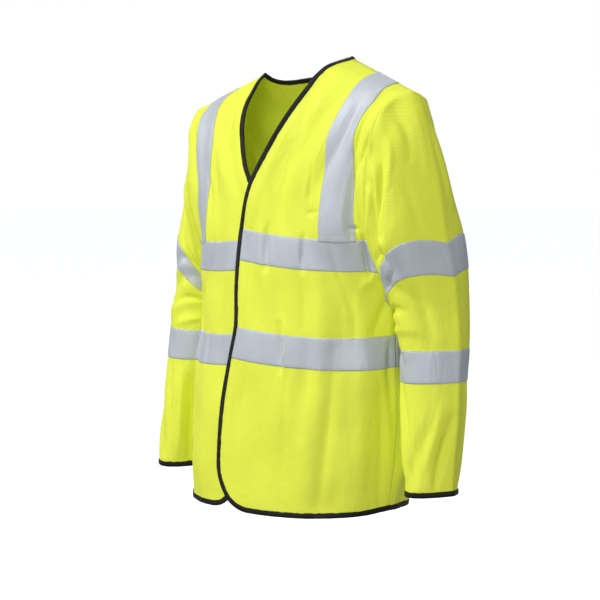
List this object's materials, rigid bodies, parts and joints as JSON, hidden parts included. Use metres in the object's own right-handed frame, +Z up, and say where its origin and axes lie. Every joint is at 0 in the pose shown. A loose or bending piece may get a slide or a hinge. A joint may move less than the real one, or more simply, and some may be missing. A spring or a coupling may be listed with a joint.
{
  "type": "high-visibility long-sleeved work jacket",
  "caption": "Collarless long-sleeved hi-vis work jacket in yellow polyester with reflective bands, braces over the shoulders, black edge binding and a hidden hook-and-loop front.",
  "frame": {"origin": "midway between the two points where the shoulder seams meet the neckline, where the wearer's shoulders carry the jacket", "axes": "+Z up, the front faces -Y, +X towards the wearer's left"},
  "size_m": [0.6426, 0.2735, 0.7118],
  "materials": {
    "cloth_yellow": "fluorescent yellow knitted polyester, fine weave, matt with a slight sheen",
    "tape_reflective": "silver-grey retroreflective tape, soft satin",
    "binding_black": "black ribbed polyester binding, slightly glossy",
    "fastener_yellow": "yellow hook and loop tape, matt pile"
  },
  "bodies": {
    "root": {"front_left": "cloth_yellow", "front_right": "cloth_yellow", "back": "cloth_yellow", "sleeve_left": "cloth_yellow", "sleeve_right": "cloth_yellow", "chest_band_left": "tape_reflective", "chest_band_right": "tape_reflective", "chest_band_back": "tape_reflective", "waist_band_left": "tape_reflective", "waist_band_right": "tape_reflective", "waist_band_back": "tape_reflective", "brace_left": "tape_reflective", "brace_right": "tape_reflective", "sleeve_band_upper_left": "tape_reflective", "sleeve_band_lower_left": "tape_reflective", "sleeve_band_upper_right": "tape_reflective", "sleeve_band_lower_right": "tape_reflective", "edge_binding_left": "binding_black", "edge_binding_right": "binding_black", "hem_binding_back": "binding_black", "neck_binding_back": "binding_black", "cuff_binding_left": "binding_black", "cuff_binding_right": "binding_black", "hook_strip": "fastener_yellow", "loop_strip": "fastener_yellow"}
  },
  "joints": []
}
